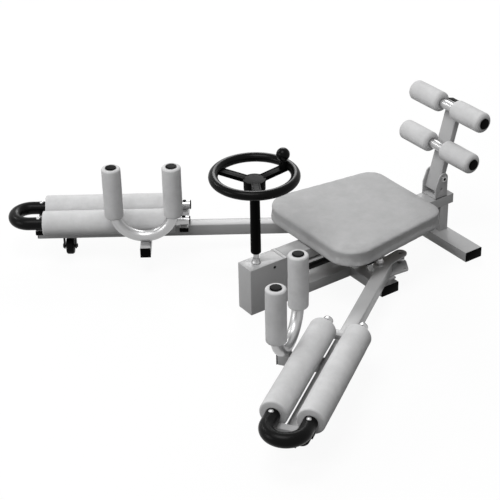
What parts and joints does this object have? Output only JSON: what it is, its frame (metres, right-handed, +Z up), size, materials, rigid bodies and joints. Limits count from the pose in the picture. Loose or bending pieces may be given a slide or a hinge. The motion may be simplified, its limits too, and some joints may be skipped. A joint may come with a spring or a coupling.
{
  "type": "leg stretching machine",
  "caption": "Low seat on a steel frame with two padded leg arms on pivots, spread together by a handwheel and screw, and a tilting lever with back rollers.",
  "frame": {"origin": "on the floor, midway between the two front feet, on the underside of the lower beam", "axes": "+X towards the right-hand arm, +Y towards the back rollers, +Z up"},
  "size_m": [1.3864, 1.1438, 0.4635],
  "materials": {
    "frame_paint": "gloss silver grey",
    "chrome": "bright chrome plate",
    "zinc_steel": "zinc plated",
    "oiled_steel": "black oiled",
    "grey_foam": "matt light grey closed-cell foam",
    "black_foam": "satin black closed-cell foam",
    "seat_cover": "matt light grey coated cloth over foam",
    "black_plastic": "satin black",
    "black_rubber": "matt black",
    "plywood": "raw birch plywood"
  },
  "bodies": {
    "frame": {"lower_beam": "frame_paint", "upper_beam": "frame_paint", "rear_post": "frame_paint", "guide_rod": "chrome", "rear_foot": "frame_paint", "rear_foot_cap_right": "black_plastic", "rear_foot_cap_left": "black_plastic", "front_foot_right": "frame_paint", "front_foot_left": "frame_paint", "front_foot_cap_right": "black_plastic", "front_foot_cap_left": "black_plastic", "gearbox_housing": "frame_paint", "column_sleeve": "black_plastic", "seat_board": "plywood", "seat_cushion": "seat_cover", "lever_bracket": "frame_paint", "lever_pivot_bolt": "zinc_steel"},
    "wheel": {"handwheel": "black_plastic", "drive_shaft": "chrome"},
    "knob": {"wheel_knob": "black_plastic"},
    "screw": {"lead_screw": "oiled_steel"},
    "crosshead": {"crosshead": "oiled_steel"},
    "right_arm": {"right_arm_frame": "frame_paint", "right_roller_tube": "chrome", "right_leg_roller_inner": "grey_foam", "right_leg_roller_outer": "grey_foam", "right_end_grip": "black_foam", "right_cradle_tube": "chrome", "right_cradle_pad_front": "grey_foam", "right_cradle_pad_rear": "grey_foam", "right_cradle_cap_front": "black_plastic", "right_cradle_cap_rear": "black_plastic", "right_cradle_tube_plug": "black_plastic"},
    "right_caster": {"right_caster_wheel": "black_rubber"},
    "right_link": {"link_right": "zinc_steel"},
    "left_arm": {"left_arm_frame": "frame_paint", "left_roller_tube": "chrome", "left_leg_roller_inner": "grey_foam", "left_leg_roller_outer": "grey_foam", "left_end_grip": "black_foam", "left_cradle_tube": "chrome", "left_cradle_pad_front": "grey_foam", "left_cradle_pad_rear": "grey_foam", "left_cradle_cap_front": "black_plastic", "left_cradle_cap_rear": "black_plastic", "left_cradle_tube_plug": "black_plastic"},
    "left_caster": {"left_caster_wheel": "black_rubber"},
    "left_link": {"link_left": "zinc_steel"},
    "back_lever": {"back_lever": "frame_paint", "lever_cap": "black_plastic", "back_bar_upper": "chrome", "back_bar_lower": "chrome", "back_pad_upper_right": "grey_foam", "back_cap_upper_right": "black_plastic", "back_pad_upper_left": "grey_foam", "back_cap_upper_left": "black_plastic", "back_pad_lower_right": "grey_foam", "back_cap_lower_right": "black_plastic", "back_pad_lower_left": "grey_foam", "back_cap_lower_left": "black_plastic"}
  },
  "joints": [
    {"name": "right_arm_swing", "type": "hinge", "parent": "frame", "child": "right_arm", "pos_m": [0.154, -0.0245, 0.079], "axis": [0, 0, 1], "range_deg": [-33, 55]},
    {"name": "left_arm_swing", "type": "hinge", "parent": "frame", "child": "left_arm", "pos_m": [-0.154, -0.0245, 0.079], "axis": [0, 0, 1], "range_deg": [-55, 33]},
    {"name": "crosshead_slide", "type": "slide", "parent": "frame", "child": "crosshead", "axis": [0, 1, 0], "range_m": [-0.063, 0.038]},
    {"name": "screw_spin", "type": "hinge", "parent": "frame", "child": "screw", "pos_m": [0, -0.336, 0.064], "axis": [0, 1, 0], "range_deg": [-675, 1125]},
    {"name": "wheel_spin", "type": "hinge", "parent": "frame", "child": "wheel", "pos_m": [0, -0.336, 0.41], "axis": [0, 0, 1], "range_deg": [-1125, 675]},
    {"name": "knob_spin", "type": "hinge", "parent": "wheel", "child": "knob", "pos_m": [0, -0.242, 0.445], "axis": [0, 0, 1], "continuous": true},
    {"name": "right_link_swing", "type": "hinge", "parent": "right_arm", "child": "right_link", "pos_m": [0.1368, 0.0635, 0.076], "axis": [0, 0, 1], "range_deg": [-6, 4]},
    {"name": "left_link_swing", "type": "hinge", "parent": "left_arm", "child": "left_link", "pos_m": [-0.1368, 0.0635, 0.076], "axis": [0, 0, 1], "range_deg": [-4, 6]},
    {"name": "right_caster_spin", "type": "hinge", "parent": "right_arm", "child": "right_caster", "pos_m": [0.5671, -0.607, 0.025], "axis": [0.5664, -0.8241, 0], "continuous": true},
    {"name": "left_caster_spin", "type": "hinge", "parent": "left_arm", "child": "left_caster", "pos_m": [-0.5671, -0.607, 0.025], "axis": [-0.5664, -0.8241, 0], "continuous": true},
    {"name": "back_lever_tilt", "type": "hinge", "parent": "frame", "child": "back_lever", "pos_m": [0, 0.3115, 0.205], "axis": [1, 0, 0], "range_deg": [-15, 15]}
  ],
  "couplings": [
    {"joint": "left_arm_swing", "follows": "right_arm_swing", "ratio": -1},
    {"joint": "crosshead_slide", "follows": "right_arm_swing", "m_per_rad": -0.065},
    {"joint": "screw_spin", "follows": "right_arm_swing", "ratio": 20.42},
    {"joint": "wheel_spin", "follows": "right_arm_swing", "ratio": -20.42},
    {"joint": "right_link_swing", "follows": "right_arm_swing", "ratio": -0.1},
    {"joint": "left_link_swing", "follows": "right_arm_swing", "ratio": 0.1}
  ]
}
